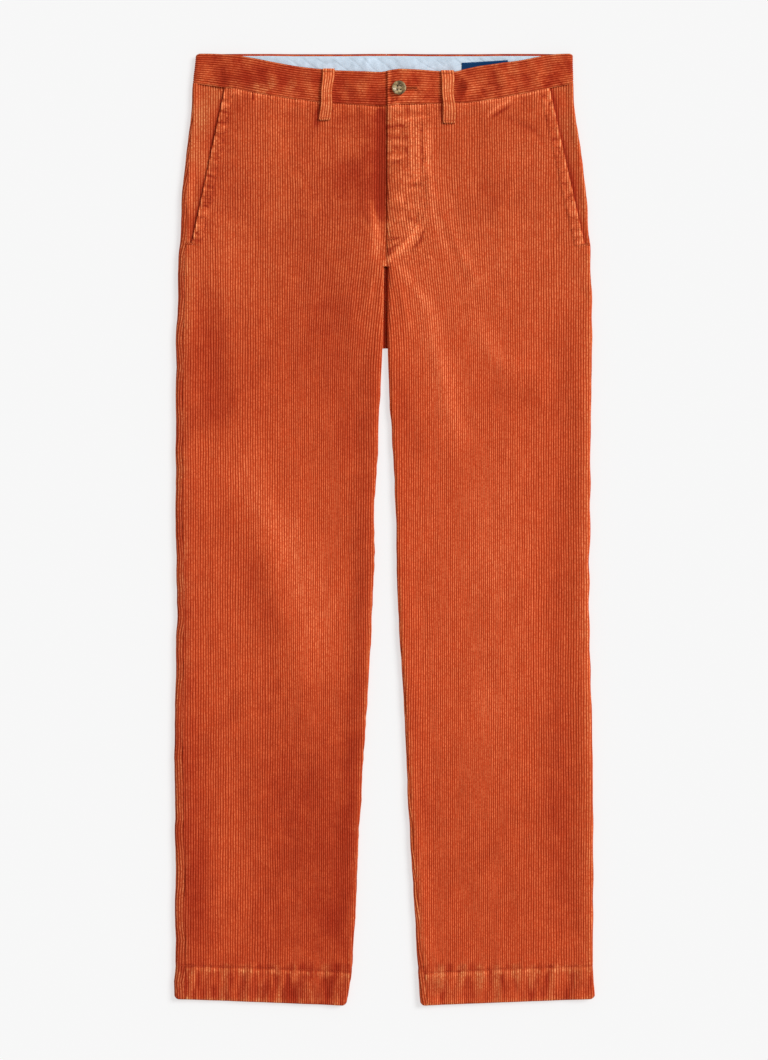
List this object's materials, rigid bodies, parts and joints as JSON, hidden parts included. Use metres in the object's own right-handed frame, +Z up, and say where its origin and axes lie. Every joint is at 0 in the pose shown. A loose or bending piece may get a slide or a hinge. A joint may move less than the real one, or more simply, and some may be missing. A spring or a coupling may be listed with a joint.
{
  "type": "corduroy trousers",
  "caption": "Straight-leg corduroy trousers lying flat on their back, with a buttoned waistband, belt loops, slant front pockets and plain hems.",
  "frame": {"origin": "on the surface the trousers lie on, under the middle of the garment's length and width", "axes": "+Y from the hems to the waist, +Z up from the surface through the front, +X to the right as seen from above with the waist at the top, which is the wearer's left"},
  "size_m": [0.4739, 1.0725, 0.0155],
  "materials": {
    "corduroy": "ribbed cotton pile, rust",
    "lining": "plain light blue shirting",
    "label": "woven, plain navy",
    "button": "polished, horn pattern",
    "thread": "twisted sewing thread"
  },
  "bodies": {
    "root": {"front_left": "corduroy", "front_right": "corduroy", "back_left": "corduroy", "back_right": "corduroy", "pocket_facing_left": "corduroy", "pocket_facing_right": "corduroy", "waistband_left": "corduroy", "waistband_right": "corduroy", "belt_loop_front_left": "corduroy", "belt_loop_front_right": "corduroy", "belt_loop_back_left": "corduroy", "belt_loop_back_centre": "corduroy", "belt_loop_back_right": "corduroy", "waistband_lining": "lining", "plain_label": "label", "button": "button", "button_shank": "thread"}
  },
  "joints": []
}
